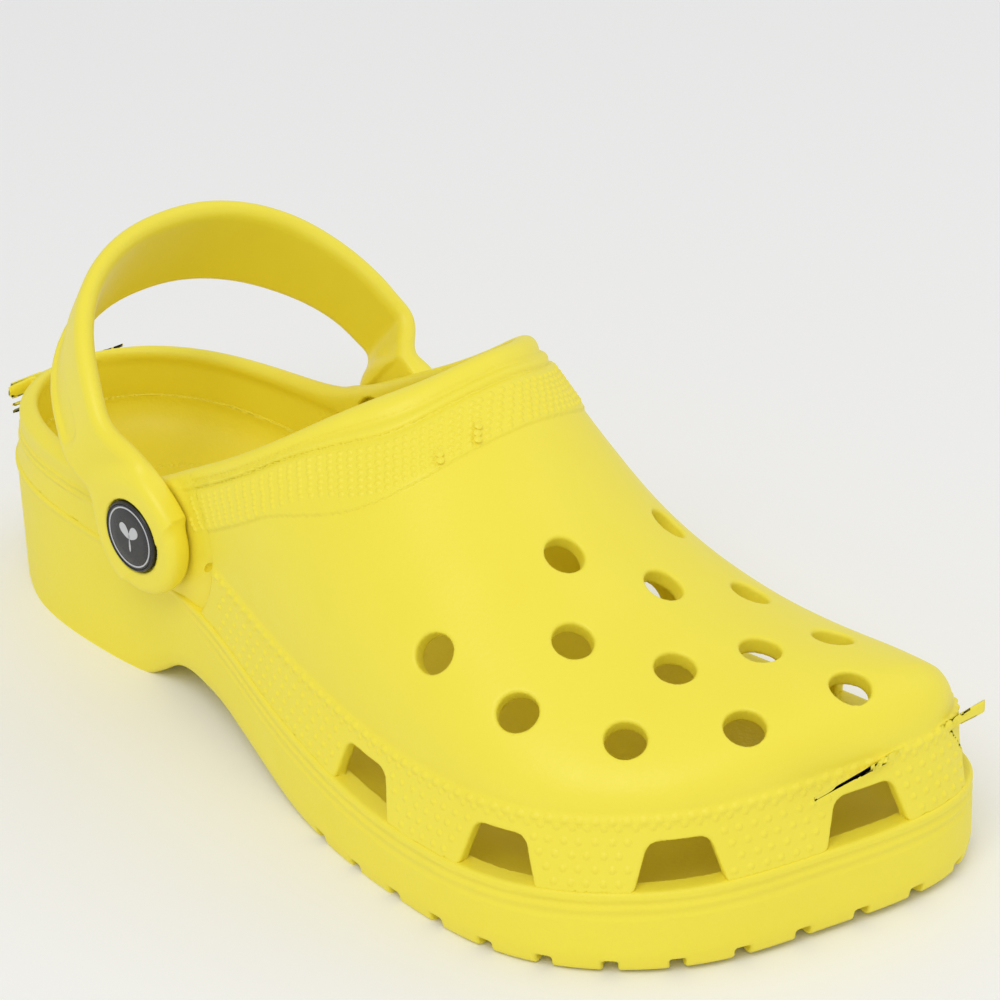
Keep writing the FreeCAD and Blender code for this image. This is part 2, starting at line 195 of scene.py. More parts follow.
def spline_points(points, closed, spacing):
    """Evenly spaced points of the cubic spline through the given points."""
    p = np.array(points, float)
    if closed:
        p = np.vstack([p, p[:1]])
    h = np.hypot(*np.diff(p, axis=0).T)
    n = len(h)
    rows = n if closed else n + 1
    matrix, right = np.zeros((rows, rows)), np.zeros((rows, 2))
    for i in range(rows):
        if not closed and i in (0, n):
            matrix[i, i] = 1.0
            continue
        before, after = h[i - 1], h[i % n]
        matrix[i, (i - 1) % rows] += before
        matrix[i, i] += 2 * (before + after)
        matrix[i, (i + 1) % rows] += after
        right[i] = 6 * ((p[i + 1] - p[i]) / after - (p[i] - p[i - 1 if i else -2]) / before)
    bend = np.linalg.solve(matrix, right)
    if closed:
        bend = np.vstack([bend, bend[:1]])
    dense = []
    for i in range(n):
        t = np.linspace(0, 1, 60, endpoint=False)[:, None]
        a, b, step = p[i], p[i + 1], h[i]
        dense.append(a * (1 - t) + b * t
                     + step * step / 6 * (((1 - t) ** 3 - (1 - t)) * bend[i] + (t ** 3 - t) * bend[i + 1]))
    dense = np.vstack(dense + [p[-1:]])
    run = np.concatenate([[0.0], np.cumsum(np.hypot(*np.diff(dense, axis=0).T))])
    count = int(run[-1] / spacing)
    even = np.linspace(0, run[-1], count, endpoint=not closed)
    return np.column_stack([np.interp(even, run, dense[:, 0]), np.interp(even, run, dense[:, 1])]), run[-1]


class CurveMap:
    """Signed distance to a plane curve, and how far along the curve its nearest point is."""

    def __init__(self, points, closed, low, high):
        line, self.length = spline_points(points, closed, 0.5)
        self.line = line
        if closed:
            tangent = np.roll(line, -1, axis=0) - np.roll(line, 1, axis=0)
        else:
            tangent = np.gradient(line, axis=0)
        tangent /= np.hypot(*tangent.T)[:, None]
        self.normal = np.column_stack([-tangent[:, 1], tangent[:, 0]])
        self.low = np.array(low, float)
        counts = (np.array(high) - self.low).astype(int) + 1
        grid = np.stack(np.meshgrid(np.arange(counts[0]), np.arange(counts[1]), indexing="ij"), -1)
        places = grid.reshape(-1, 2) + self.low
        distance = np.empty(len(places))
        along = np.empty(len(places))
        for i in range(0, len(places), 4000):
            block = places[i:i + 4000]
            gap = ((block[:, None, 0] - line[None, :, 0]) ** 2
                   + (block[:, None, 1] - line[None, :, 1]) ** 2)
            k = gap.argmin(1)
            away = block - line[k]
            normal_part = (away * self.normal[k]).sum(1)
            size = np.sqrt(gap[np.arange(len(block)), k])
            distance[i:i + 4000] = np.where(size > 3.0, np.copysign(size, normal_part), normal_part)
            ahead = (away * np.column_stack([self.normal[k][:, 1], -self.normal[k][:, 0]])).sum(1)
            along[i:i + 4000] = k / len(line) * self.length + np.clip(ahead, -0.3, 0.3)
        turn = along * (2 * np.pi / self.length)
        layers = np.column_stack([distance, np.cos(turn), np.sin(turn)])
        self.layers = layers.reshape(counts[0], counts[1], 3).astype(np.float32)

    def sample(self, u, v):
        """Distance and length along the curve at the given places, by cubic interpolation."""
        u, v = np.broadcast_arrays(np.asarray(u, float) - self.low[0], np.asarray(v, float) - self.low[1])
        shape = u.shape
        u, v = u.ravel(), v.ravel()
        nu, nv, _ = self.layers.shape
        u0 = np.clip(np.floor(u).astype(int), 1, nu - 3)
        v0 = np.clip(np.floor(v).astype(int), 1, nv - 3)
        wu, wv = cubic_weights(u - u0), cubic_weights(v - v0)
        total = np.zeros((len(u), 3))
        for a in range(4):
            for b in range(4):
                total += (wu[a] * wv[b])[:, None] * self.layers[u0 + a - 1, v0 + b - 1]
        along = np.arctan2(total[:, 2], total[:, 1]) * (self.length / (2 * np.pi)) % self.length
        return total[:, 0].reshape(shape), along.reshape(shape)

    def nearest(self, u, v):
        """Length along the curve of its point nearest to one place."""
        k = np.hypot(self.line[:, 0] - u, self.line[:, 1] - v).argmin()
        return k / len(self.line) * self.length


def cubic_weights(t):
    t2, t3 = t * t, t * t * t
    return [(-t3 + 2 * t2 - t) / 2, (3 * t3 - 5 * t2 + 2) / 2, (-3 * t3 + 4 * t2 + t) / 2, (t3 - t2) / 2]


def smax(a, b, k):
    """Largest of two fields, with the edge between them rounded over about k."""
    h = np.maximum(k - np.abs(a - b), 0.0)
    return np.maximum(a, b) + h * h * (0.25 / k)


def smin(a, b, k):
    return -smax(-a, -b, k)


def ease(q, start, end):
    """0 before start, 1 after end, smooth between."""
    t = np.clip((q - start) / (end - start), 0.0, 1.0)
    return t * t * (3 - 2 * t)


def hump(q, start, end):
    """A rounded ridge between start and end, 1 at its middle."""
    t = np.clip((q - start) / (end - start), 0.0, 1.0)
    return (4 * t * (1 - t)) ** 1.5


# ---- the shell's own maps -------------------------------------------------------------------

band_line, rand_top, crest = smooth_profile(BAND_LINE), smooth_profile(RAND_TOP), smooth_profile(CREST)
footbed, ground, rand_lean = smooth_profile(FOOTBED), smooth_profile(GROUND), smooth_profile(RAND_LEAN)
crest_skew = smooth_profile(CREST_SKEW)
outline = CurveMap(OUTLINE, True, (-76, -14), (70, 304))
rim = CurveMap(RIM, False, (-14, -6), (304, 124))


def crown_tables():
    """Middle, half width and height of the crown at every station, with their slopes."""
    line, normal = outline.line, outline.normal
    inset = (rand_lean(line[:, 1]) + CROWN_STEP)[:, None]
    edge = line - normal * inset
    heel, toe = edge[:, 1].argmin(), edge[:, 1].argmax()
    stations = np.arange(-10.0, 300.0, 0.25)
    edge = np.roll(edge, -heel, axis=0)
    toe = (toe - heel) % len(edge)
    first, second = edge[:toe + 1], edge[toe:][::-1]
    sides = [np.interp(stations, side[:, 1], side[:, 0]) for side in (first, second)]
    lateral, medial = np.minimum(*sides), np.maximum(*sides)
    end = edge[:, 1].max()
    middle = (lateral + medial) / 2
    half = np.maximum((medial - lateral) / 2, 1.0)
    share = np.clip((stations - 225.0) / (end - 225.0), 0.0, 1.0)
    height = (crest(stations) - rand_top(stations)) * np.sqrt(np.maximum(1 - share ** TOE_ROUNDING, 0.0))
    height = np.maximum(height, 1.0)
    skew = np.clip(crest_skew(stations), -0.3 * half, 0.3 * half)
    tables = {}
    for name, values in (("middle", middle), ("half", half), ("height", height),
                         ("rand", rand_top(stations)), ("skew", skew)):
        tables[name] = values
        tables[name + "_slope"] = np.gradient(values, stations)
    return stations, tables, edge[:, 1].min(), edge[:, 1].max()


STATIONS, CROWN, HEEL_END, TOE_END = crown_tables()


def across_crown(m, x):
    """Where x is across the skewed arch, -1 lateral edge to 1 medial edge, and the arch's exponent."""
    off_top = x - m["middle"] - m["skew"]
    root = np.sqrt(np.maximum(m["half"] ** 2 - 4 * m["skew"] * off_top, 0.16 * m["half"] ** 2))
    across = 2 * off_top / (m["half"] + root)
    return across, np.where(across > 0, MEDIAL_ARCH, LATERAL_ARCH), root


def crown_field(x, s, z):
    """The vaulted top of the shoe: arches from side to side, skewed towards the big toe."""
    m = {name: np.interp(s, STATIONS, values) for name, values in CROWN.items()}
    across, power, root = across_crown(m, x)
    away = np.abs(across)
    up = np.maximum(z - m["rand"], 0.0) / m["height"]
    size = np.maximum(away ** power + up ** power, 1e-6) ** (1 / power)
    by_across = (away / size) ** (power - 1)
    by_up = (up / size) ** (power - 1)
    moved = m["middle_slope"] + across * m["half_slope"] + m["skew_slope"] * (1 - across ** 2)
    up_slope = np.where(z > m["rand"], -(m["rand_slope"] + up * m["height_slope"]) / m["height"], 0.0)
    steep = np.sqrt((by_across / root) ** 2 + (by_up / m["height"]) ** 2
                    + (by_across * np.sign(across) * -moved / root + by_up * up_slope) ** 2)
    ends = np.maximum(s - TOE_END, HEEL_END - s)
    return np.maximum((size - 1) / np.maximum(steep, 1e-3), ends)


def crown_height(x, s):
    m = {name: np.interp(s, STATIONS, values) for name, values in CROWN.items()}
    across, power, _ = across_crown(m, x)
    return m["rand"] + m["height"] * (1 - np.minimum(np.abs(across), 1) ** power) ** (1 / power)


def plan(x, s):
    """What depends only on the place in plan."""
    edge, along = outline.sample(x, s)
    return SimpleNamespace(edge=edge, along=along, band=band_line(s), rand=rand_top(s),
                           lean=rand_lean(s), bed=footbed(s), ground=ground(s))


def outside_field(c, x, s, z, ledge=0.0, step=0.6):
    """The outside of the shell above the sole band, without its ports, vents and opening."""
    rise = np.clip((z - c.band) / (c.rand - c.band), 0.0, 1.3)
    side = c.edge + ledge * (1 - 0.6 * rise) + c.lean * rise
    rand = smax(side, z - c.rand, 2.2)
    return smin(rand, crown_field(x, s, z), step)


def inside_field(c, x, s, z):
    """The hollow for the foot."""
    shell = outside_field(c, x, s, z, step=6.0) + WALL
    cup = 3.5 * ease(-c.edge, 22.0, 4.0)
    return smax(shell, (c.bed + cup - z) * 0.95, 9.0)


def pivot_radius(s, z):
    return np.hypot(s - PIVOT_STATION, z - PIVOT_HEIGHT)


def vent_axes():
    axes = []
    for x, s in VENTS:
        z = crown_height(x, s)
        slope_x = (crown_height(x + 3, s) - crown_height(x - 3, s)) / 6
        slope_s = (crown_height(x, s + 3) - crown_height(x, s - 3)) / 6
        out = np.array([-slope_x, -slope_s, 1.0])
        axes.append((np.array([x, s, float(z)]), out / np.linalg.norm(out)))
    return axes


VENT_AXES = vent_axes()


def vents_field(x, s, z):
    nearest = 1e3
    for place, out in VENT_AXES:
        dx, ds, dz = x - place[0], s - place[1], z - place[2]
        depth = dx * out[0] + ds * out[1] + dz * out[2]
        radius = np.sqrt(np.maximum(dx * dx + ds * ds + dz * dz - depth * depth, 0.0))
        nearest = np.minimum(nearest, np.maximum(radius - VENT_RADIUS, np.abs(depth) - 14.0))
    return nearest


def ports_field(c, z):
    nearest = 1e3
    up = z - c.band
    for x, s, width in PORTS:
        beyond = (c.along - outline.nearest(x, s) + outline.length / 2) % outline.length
        away = np.abs(beyond - outline.length / 2)
        sides = (away - (width / 2 - PORT_TAPER * up / PORT_HEIGHT)) * 0.96
        nearest = np.minimum(nearest, smax(sides, up - PORT_HEIGHT, 3.0))
    return np.maximum(nearest, -c.edge - 16.0)


def strip_edges(s):
    """Where the dotted strip below the collar begins and ends, measured down from the rim."""
    front = ease(s, 138.0, 170.0)
    return 4.8 + 3.6 * front, 15.6 + 6.0 * front


def collar_relief(q, s):
    """Raised and sunk mouldings below the rim of the opening, at a distance q from it."""
    first, last = strip_edges(s)
    u = q / first
    mouldings = (1.0 * hump(u, -0.55, 0.62) - 0.25 * hump(u, 0.54, 0.78) + 0.55 * hump(u, 0.68, 1.0)
                 - 0.2 * hump(u, 0.96, 1.1))
    strip = 0.55 * ease(q, first * 1.02, first * 1.2) * (1 - ease(q, last - 0.6, last + 0.2))
    return mouldings + strip


def heel_relief(q):
    """The broad heel rim and two fine ridges below it."""
    return 0.9 * hump(q, -6.0, 6.5) + 0.4 * hump(q, 6.8, 8.2) + 0.35 * hump(q, 8.7, 10.1)


def upper_field(x, s, z):
    c = plan(x, s)
    cut, _ = rim.sample(s, z)
    outside = outside_field(c, x, s, z, ledge=RAND_LEDGE)
    front = ease(s, 98.0, 112.0)
    relief = front * collar_relief(-cut, s) + (1 - front) * heel_relief(-cut)
    bead = 0.45 * hump(z - c.rand, -2.6, 0.9) * ease(s, 104.0, 130.0) * (c.edge > -9)
    outside = outside - relief * (outside > -3.5) - bead
    radius = pivot_radius(s, z)
    pad = smax(np.abs(x) - PAD_PLANE, radius - PAD_RADIUS, 1.0)
    outside = smin(outside, pad, 3.0)
    outside = smax(outside, -np.maximum(radius - RECESS_RADIUS, PAD_PLANE - np.abs(x)), 1.2)
    hollow = inside_field(c, x, s, z)
    hidden = 0.5 * (1 - ease(z - c.bed, 7.0, 15.0))
    shell = smax(outside, -(hollow + 0.06 - hidden), 2.4)
    shell = smax(shell, cut, 3.6)
    bottom = np.minimum(c.band - 0.4 - z, np.maximum(c.edge + 2.6, c.bed - 2.0 - z))
    shell = np.maximum(shell, bottom)
    openings = smin(ports_field(c, z), vents_field(x, s, z), 0.1)
    shell = smax(shell, -np.maximum(openings, c.band - z - 0.01), 1.1)
    counterbore = np.maximum(radius - CAP_RADIUS - 1.0, np.abs(np.abs(x) - (PAD_PLANE - WALL - 5)) - 5.0)
    shell = smax(shell, -counterbore, 0.5)
    shell = np.maximum(shell, c.edge - OUTLINE_MARGIN)
    return np.maximum(shell, POST_RADIUS + 0.1 - radius)


def tread_field(c, x, s, z):
    """Grooves in the tread; negative inside a groove."""
    pitch = outline.length / round(outline.length / NOTCH_PITCH)
    away = np.abs((c.along / pitch) % 1.0 - 0.5) * pitch
    up = z - c.ground
    notch = smax(away - NOTCH_HALF_WIDTH - 0.2 * up, up - NOTCH_HEIGHT, 1.2)
    notch = np.maximum(notch, -c.edge - NOTCH_DEPTH)
    border = smax(np.abs(c.edge + BORDER_INSET) - GROOVE_HALF_WIDTH, up - GROOVE_HEIGHT, 0.8)
    wave = np.abs(((s + 4.0 * np.cos(x / 9.0)) / BAR_PITCH) % 1.0 - 0.5) * BAR_PITCH
    bars = smax(wave - GROOVE_HALF_WIDTH, up - GROOVE_HEIGHT, 0.8)
    bars = np.maximum(bars, c.edge + BORDER_INSET + 1.0)
    grooves = np.minimum(np.minimum(notch, border), bars)
    arch = np.minimum(ease(s, 76.0, 84.0), 1 - ease(s, 162.0, 168.0))
    return grooves + 8.0 * arch


def sole_field(x, s, z):
    c = plan(x, s)
    below = c.band - z
    up = z - c.ground
    heel = 1 - ease(s, 90.0, 130.0)
    relief = (-0.4 * hump(below, 1.9, 4.1) - 0.3 * hump(below, 4.6, 7.2)) * (1 - heel)
    relief = relief - 0.5 * heel * ease(below, 1.0, 2.6)
    tuck = 0.9 + 3.6 * (1 - ease(s, 34.0, 66.0))
    side = c.edge - relief + tuck * (1 - ease(up, 0.0, 7.0)) ** 1.5 + 0.2
    block = smax(side, -below, 1.3)
    block = smax(block, -up, 2.2)
    hollow = inside_field(c, x, s, z)
    tucked = 1.1 * ease(z - c.bed, 10.0, 16.0)
    block = smax(block, -(hollow + tucked), 0.3)
    return smax(block, -tread_field(c, x, s, z), 0.9)


# ---- the strap's field ----------------------------------------------------------------------

def strap_line():
    """Middle of the band as (x, reach) points, from the lateral boss round to the medial one."""
    power = 2 / STRAP_LOOP_POWER
    start = STRAP_INNER + STRAP_THICKNESS / 2
    points = [(-start, -30.0), (-start, -15.0)]
    steps = 44
    for k in range(steps + 1):
        angle = math.pi * k / steps
        side = -math.copysign(1.0, math.cos(angle))
        across = STRAP_HALF_SPAN * abs(math.cos(angle)) ** power
        reach = STRAP_REACH * max(math.sin(angle), 0.0) ** power
        if reach < STRAP_REACH / 2:
            flare = MEDIAL_FLARE if side > 0 else LATERAL_FLARE
            share = min(max((reach - STRAP_FLARE_START) / flare, 0.0), 1.0)
            across = start + (across - start) * share * share * (3 - 2 * share)
        points.append((side * across, reach))
    return points + [(start, -15.0), (start, -30.0)]


strap_loop = CurveMap(strap_line(), False, (-66, -30), (66, 84))
strap_front, strap_back = smooth_profile(STRAP_FRONT_EDGE), smooth_profile(STRAP_BACK_EDGE)


def strap_field(x, reach, h):
    lean = math.tan(math.radians(11.0)) * h * ease(reach, 20.0, 58.0)
    offset, _ = strap_loop.sample(x, reach - lean)
    front, back = strap_front(reach) - h, h - strap_back(reach)
    band = smax(np.abs(offset) - STRAP_THICKNESS / 2, -np.minimum(front, back), 3.6)
    band = np.maximum(band, -reach - 4.0)
    border = 3.6
    width = strap_front(reach) - strap_back(reach)
    channel = smax(width * 0.47 - front, border - back, 3.0)
    channel = smax(channel, 27.0 - reach, 5.0)
    outer = offset - STRAP_THICKNESS / 2
    band = band + 1.3 * ease(-channel, -0.4, 1.4) * ease(outer, -3.0, -0.5)
    radius = np.hypot(reach, h)
    thickness = BOSS_OUTER - STRAP_INNER
    boss = smax(radius - BOSS_RADIUS, np.abs(np.abs(x) - STRAP_INNER - thickness / 2) - thickness / 2, 3.4)
    whole = smin(band, boss, 4.0)
    whole = smax(whole, STRAP_INNER - np.abs(x) - 100.0 * ease(reach, 11.0, 40.0), 0.6)
    whole = np.maximum(whole, POST_RADIUS + 0.1 - radius)
    seat = np.maximum(radius - HEAD_RADIUS - 0.25, HEAD_PLANE - 0.3 - np.abs(x))
    return smax(whole, -seat, 0.8)


# ---- meshes ---------------------------------------------------------------------------------

def to_row(points):
    """Foot coordinates to the row frame, in metres."""
    x, s, z = points.T
    return np.column_stack([x + FOOT_X, LENGTH / 2 - s, z]) * MM


def strap_to_row(points):
    """Strap coordinates (x, reach, height off the strap's middle) to the row frame, in metres."""
    x, reach, h = points.T
    c, s = math.cos(math.radians(STRAP_ANGLE)), math.sin(math.radians(STRAP_ANGLE))
    y = PIVOT[1] + reach * c - h * s
    z = PIVOT[2] + reach * s + h * c
    return np.column_stack([x + FOOT_X, y, z]) * MM


def gradient(field, points, h=0.12):
    """How a field changes along each axis at the given points."""
    columns = []
    for axis in range(3):
        shift = np.zeros(3)
        shift[axis] = h
        high, low = points + shift, points - shift
        columns.append((field(*high.T) - field(*low.T)) / (2 * h))
    return np.column_stack(columns)


def settle(field, points, rounds=2, reach=0.5):
    """Moves points onto the surface of a field; a point that would go far stays where it was."""
    start = points
    for _ in range(rounds):
        slope = gradient(field, points)
        size = np.maximum((slope * slope).sum(1), 0.05)
        step = (field(*points.T) / size)[:, None] * slope
        length = np.maximum(np.linalg.norm(step, axis=1), 1e-9)
        points = points - step * np.minimum(1.0, reach / length)[:, None]
    near = np.linalg.norm(points - start, axis=1) < VOXEL
    return np.where(near[:, None], points, start)


def mesh_object(name, vertices, faces):
    """A mesh object from arrays; faces all have the same number of corners."""
    mesh = bpy.data.meshes.new(name)
    corners = faces.shape[1]
    mesh.vertices.add(len(vertices))
    mesh.vertices.foreach_set("co", np.asarray(vertices, np.float32).ravel())
    mesh.loops.add(faces.size)
    mesh.loops.foreach_set("vertex_index", faces.astype(np.int32).ravel())
    mesh.polygons.add(len(faces))
    mesh.polygons.foreach_set("loop_start", np.arange(0, faces.size, corners, dtype=np.int32))
    mesh.update(calc_edges=True)
    mesh.validate()
    mesh.polygons.foreach_set("use_smooth", np.ones(len(mesh.polygons), bool))
    obj = bpy.data.objects.new(name, mesh)
    bpy.context.scene.collection.objects.link(obj)
    return obj


def thinned(obj, most):
    """The object's mesh with at most that many triangles."""
    modifier = obj.modifiers.new("thin", "DECIMATE")
    modifier.ratio = min(1.0, most / (2 * len(obj.data.polygons)))
    mesh = bpy.data.meshes.new_from_object(obj.evaluated_get(bpy.context.evaluated_depsgraph_get()))
    obj.modifiers.clear()
    obj.data = mesh
    return obj


def foam_piece(name, field, low, high, place, mirrored):
    """A piece of foam: the surface of a field inside a box, thinned, and never below the ground."""
    axes = [np.arange(a, b, VOXEL) for a, b in zip(low, high)]
    values = np.empty([len(a) for a in axes], np.float32)
    for i in range(0, len(axes[0]), 12):
        block = np.meshgrid(axes[0][i:i + 12], axes[1], axes[2], indexing="ij")
        values[i:i + 12] = field(*block)
    grid = openvdb.FloatGrid(3.0)
    grid.copyFromArray(np.clip(values, -3.0, 3.0))
    points, quads = grid.convertToQuads(0)
    points = points * VOXEL + np.array(low)
    points = settle(field, points.astype(float))
    if mirrored:
        quads = quads[:, ::-1]
    obj = mesh_object(name, points, quads.astype(np.int64))
    if 2 * len(quads) > MOST_FACES:
        thinned(obj, MOST_FACES)
    points = np.empty(len(obj.data.vertices) * 3)
    obj.data.vertices.foreach_get("co", points)
    points = settle(field, points.reshape(-1, 3), rounds=1)
    normals = place(points + gradient(field, points) * 1e-3) - place(points)
    normals /= np.maximum(np.linalg.norm(normals, axis=1), 1e-12)[:, None]
    spots = place(points)
    spots[:, 2] = np.maximum(spots[:, 2], 0.0)
    obj.data.vertices.foreach_set("co", spots.astype(np.float32).ravel())
    obj.data.normals_split_custom_set_from_vertices(normals.tolist())
    obj.data.update()
    return obj


# ---- dots and nubs -----------------------------------------------------------------------------

def bump_pattern(radius, height, rings=3, spokes=10):
    """A soft round bump as (u, v, lift) points and its faces; its rim ends just under the surface."""
    points = [(0.0, 0.0, height)]
    faces = []
    for ring in range(1, rings + 1):
        share = ring / rings
        lift = height * (1 - share ** 2) ** 1.6 - BUMP_SINK * share
        for spoke in range(spokes):
            angle = 2 * math.pi * (spoke + 0.5 * ring) / spokes
            points.append((radius * share * math.cos(angle), radius * share * math.sin(angle), lift))
    for spoke in range(spokes):
        faces.append((0, 1 + spoke, 1 + (spoke + 1) % spokes))
    for ring in range(1, rings):
        inner, outer = 1 + (ring - 1) * spokes, 1 + ring * spokes
        for spoke in range(spokes):
            after = (spoke + 1) % spokes
            faces.append((inner + spoke, outer + spoke, inner + after))
            faces.append((inner + after, outer + spoke, outer + after))
    return np.array(points), np.array(faces)


def bumps(name, field, centres, radius, height):
    """One mesh of soft bumps that stand on the surface of a field."""
    centres = settle(field, np.array(centres), rounds=3, reach=1.0)
    out = gradient(field, centres)
    out /= np.linalg.norm(out, axis=1)[:, None]
    first = np.cross(out, [0.0, 0.0, 1.0])
    first /= np.maximum(np.linalg.norm(first, axis=1), 1e-6)[:, None]
    second = np.cross(out, first)
    pattern, faces = bump_pattern(radius, height)
    across, along = pattern[None, :, :1], pattern[None, :, 1:2]
    points = centres[:, None] + first[:, None] * across + second[:, None] * along
    points = settle(field, points.reshape(-1, 3), rounds=2).reshape(points.shape)
    points = points + out[:, None] * pattern[None, :, 2:]
    every = faces[None] + (np.arange(len(centres)) * len(pattern))[:, None, None]
    return mesh_object(name, to_row(points.reshape(-1, 3)), every.reshape(-1, 3)[:, ::-1])


def rand_dots():
    """Staggered rows of dots round the rand, clear of the ports, and larger beads along its top."""
    small, large = [], []
    pitch = outline.length / round(outline.length / DOT_PITCH)
    for row in range(RAND_ROWS + 1):
        top = row == RAND_ROWS
        for k in range(int(outline.length / pitch)):
            along = (k + 0.5 * (row % 2)) * pitch
            i = int(along / outline.length * len(outline.line)) % len(outline.line)
            (x, s), (nx, ns) = outline.line[i], outline.normal[i]
            if s < (BEADS_FROM if top else RAND_DOTS_FROM):
                continue
            band, rand = band_line(s), rand_top(s)
            up = rand - band - 1.1 if top else 1.9 + row * (rand - band - 4.6) / (RAND_ROWS - 1)
            share = up / (rand - band)
            back = RAND_LEDGE * (1 - 0.6 * share) + rand_lean(s) * share
            place = (x - nx * back, s - ns * back, band + up)
            (large if top else small).append(place)
    kept = np.array(small)
    clear = ports_field(plan(kept[:, 0], kept[:, 1]), kept[:, 2]) > DOT_RADIUS + 0.9
    return kept[clear], large


def collar_dots():
    """Staggered rows of dots on the strip below the collar, from one side over the instep to the other."""
    dots = []
    line, normal = rim.line, rim.normal
    inside = line[:, 1] < 106.0
    line, normal = line[inside], normal[inside]
    first, last = strip_edges(line[:, 0])
    across = np.linspace(-0.999, 0.999, 900)
    power = np.where(across > 0, MEDIAL_ARCH, LATERAL_ARCH)
    arch = (1 - np.abs(across) ** power) ** (1 / power)
    for row in range(COLLAR_ROWS):
        depth = first * 1.2 + 1.2 + (last - first * 1.2 - 2.6) * row / (COLLAR_ROWS - 1)
        s, z = line[:, 0] - normal[:, 0] * depth, line[:, 1] - normal[:, 1] * depth
        m = {name: np.interp(s, STATIONS, values) for name, values in CROWN.items()}
        above = z[None] - m["rand"][None] - m["height"][None] * arch[:, None]
        i = (above > 0).argmax(1)
        x = m["middle"][i] + across * m["half"][i] + m["skew"][i] * (1 - across ** 2)
        places = np.column_stack([x, s[i], z[i]])
        run = np.concatenate([[0.0], np.cumsum(np.linalg.norm(np.diff(places, axis=0), axis=1))])
        start = COLLAR_PITCH * (0.5 * (row % 2) + 0.25)
        for along in np.arange(start, run[-1], COLLAR_PITCH):
            place = [np.interp(along, run, places[:, axis]) for axis in range(3)]
            if place[1] > COLLAR_DOTS_FROM and place[2] > rand_top(place[1]) + 2.0:
                dots.append(place)
    return dots


def heel_nubs():
    """A row of small nubs round the heel seat, on the footbed."""
    nubs = []
    for k in range(-NUBS_EACH_SIDE, NUBS_EACH_SIDE + 1):
        turn = k / NUBS_EACH_SIDE * math.radians(100)
        x, s = NUB_ROW_WIDTH * math.sin(turn), NUB_ROW_CENTRE - NUB_ROW_LENGTH * math.cos(turn)
        nubs.append((x, s, float(footbed(s)) + 0.4))
    return nubs


def camera():
    """The camera at the photograph's viewing angle; the photograph is framed off its optical axis."""
    data = bpy.data.cameras.new("camera")
    data.lens = 138.0
    data.sensor_width = 36.0
    data.shift_x, data.shift_y = CAMERA_SHIFT
    obj = bpy.data.objects.new("camera", data)
    bpy.context.scene.collection.objects.link(obj)
    azimuth, elevation, roll = (math.radians(angle) for angle in CAMERA_ANGLES)
    back = Vector((math.sin(azimuth) * math.cos(elevation), -math.cos(azimuth) * math.cos(elevation),
                   math.sin(elevation)))
    obj.location = Vector((FOOT_X, -4.76, 29.34)) * MM + back * CAMERA_DISTANCE
    obj.rotation_mode = "QUATERNION"
    obj.rotation_quaternion = (-back).to_track_quat("-Z", "Y") @ Quaternion((0, 0, 1), roll)
    data.clip_start = 0.05
    data.clip_end = 20
    bpy.context.scene.camera = obj


# ---- rivets and badges ------------------------------------------------------------------------

def turned(name, profile, side, spokes=72):
    """A piece turned about the pivot's axis, from (distance out, radius) points."""
    points, faces = [], []
    for out, radius in profile:
        for k in range(spokes):
            angle = 2 * math.pi * k / spokes
            points.append((PIVOT[0] + side * out, PIVOT[1] + radius * math.cos(angle),
                           PIVOT[2] + radius * math.sin(angle)))
    for ring in range(len(profile) - 1):
        for k in range(spokes):
            after = (k + 1) % spokes
            corners = (ring * spokes + k, ring * spokes + after, (ring + 1) * spokes + after,
                       (ring + 1) * spokes + k)
            faces.append(corners if side < 0 else corners[::-1])
    return mesh_object(name, np.array(points) * MM, np.array(faces))


def rivet(name, side):
    """A post with a broad rounded head, sunk a little in its middle for the badge."""
    post = [(POST_END, 0.01), (POST_END, 2.6), (34.6, POST_RADIUS), (45.9, POST_RADIUS)]
    head = [(HEAD_PLANE, 3.6), (HEAD_PLANE, 8.9), (46.3, RIVET_HEAD_RADIUS), (47.3, RIVET_HEAD_RADIUS),
            (47.7, 9.15), (HEAD_OUTER, 8.95), (47.87, 8.75)]
    seat = [(BADGE_SEAT, 8.65), (BADGE_SEAT, 0.01)]
    return turned(name, post + head + seat, side)


def badge_disc(name, side):
    """The printed disc, very slightly domed."""
    return turned(name, [(BADGE_SEAT, 0.01), (BADGE_SEAT, BADGE_RADIUS), (47.7, 8.55), (47.78, 8.4),
                         (47.84, 5.0), (47.86, 0.01)], side)


def badge_ring(name, side):
    """A thin pale ring printed near the disc's edge."""
    return turned(name, [(47.7, RING_RADIUS), (47.88, 7.62), (47.88, 8.0), (47.7, 8.02),
                         (47.7, RING_RADIUS)], side)


